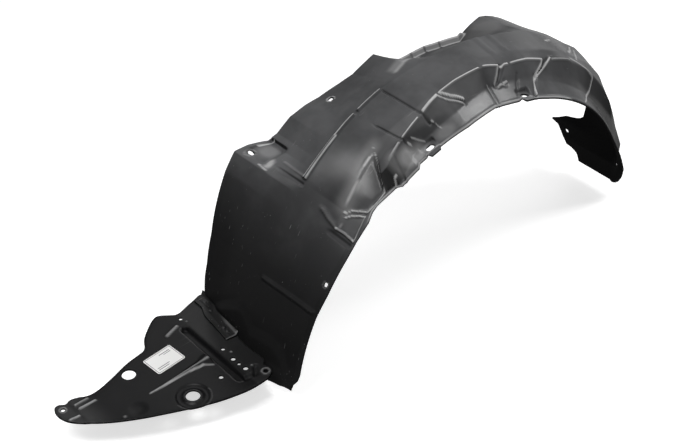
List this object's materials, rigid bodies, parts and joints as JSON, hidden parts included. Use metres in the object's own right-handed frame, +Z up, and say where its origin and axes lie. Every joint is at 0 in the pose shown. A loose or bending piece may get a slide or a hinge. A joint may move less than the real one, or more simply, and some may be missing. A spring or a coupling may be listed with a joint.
{
  "type": "wheel arch liner",
  "caption": "Moulded plastic liner for a front wheel arch, a ribbed half-round shell with edge lugs and a perforated splash panel staked to its front foot.",
  "frame": {"origin": "on the wheel axis, in the plane of the arch's outer edge", "axes": "+X along the car towards the rear leg, +Y inboard from the outer edge, +Z up"},
  "size_m": [0.9824, 0.2425, 0.3669],
  "materials": {
    "liner_plastic": "moulded black polypropylene, fine satin grain, dusty black on the legs",
    "panel_plastic": "moulded dark grey polypropylene, smooth satin",
    "stake_plastic": "melted polypropylene heads, slightly glossy",
    "sticker_paper": "coated white label stock, blank"
  },
  "bodies": {
    "root": {"arch_liner": "liner_plastic", "splash_panel": "panel_plastic", "heat_stakes": "stake_plastic", "blank_sticker": "sticker_paper"}
  },
  "joints": []
}
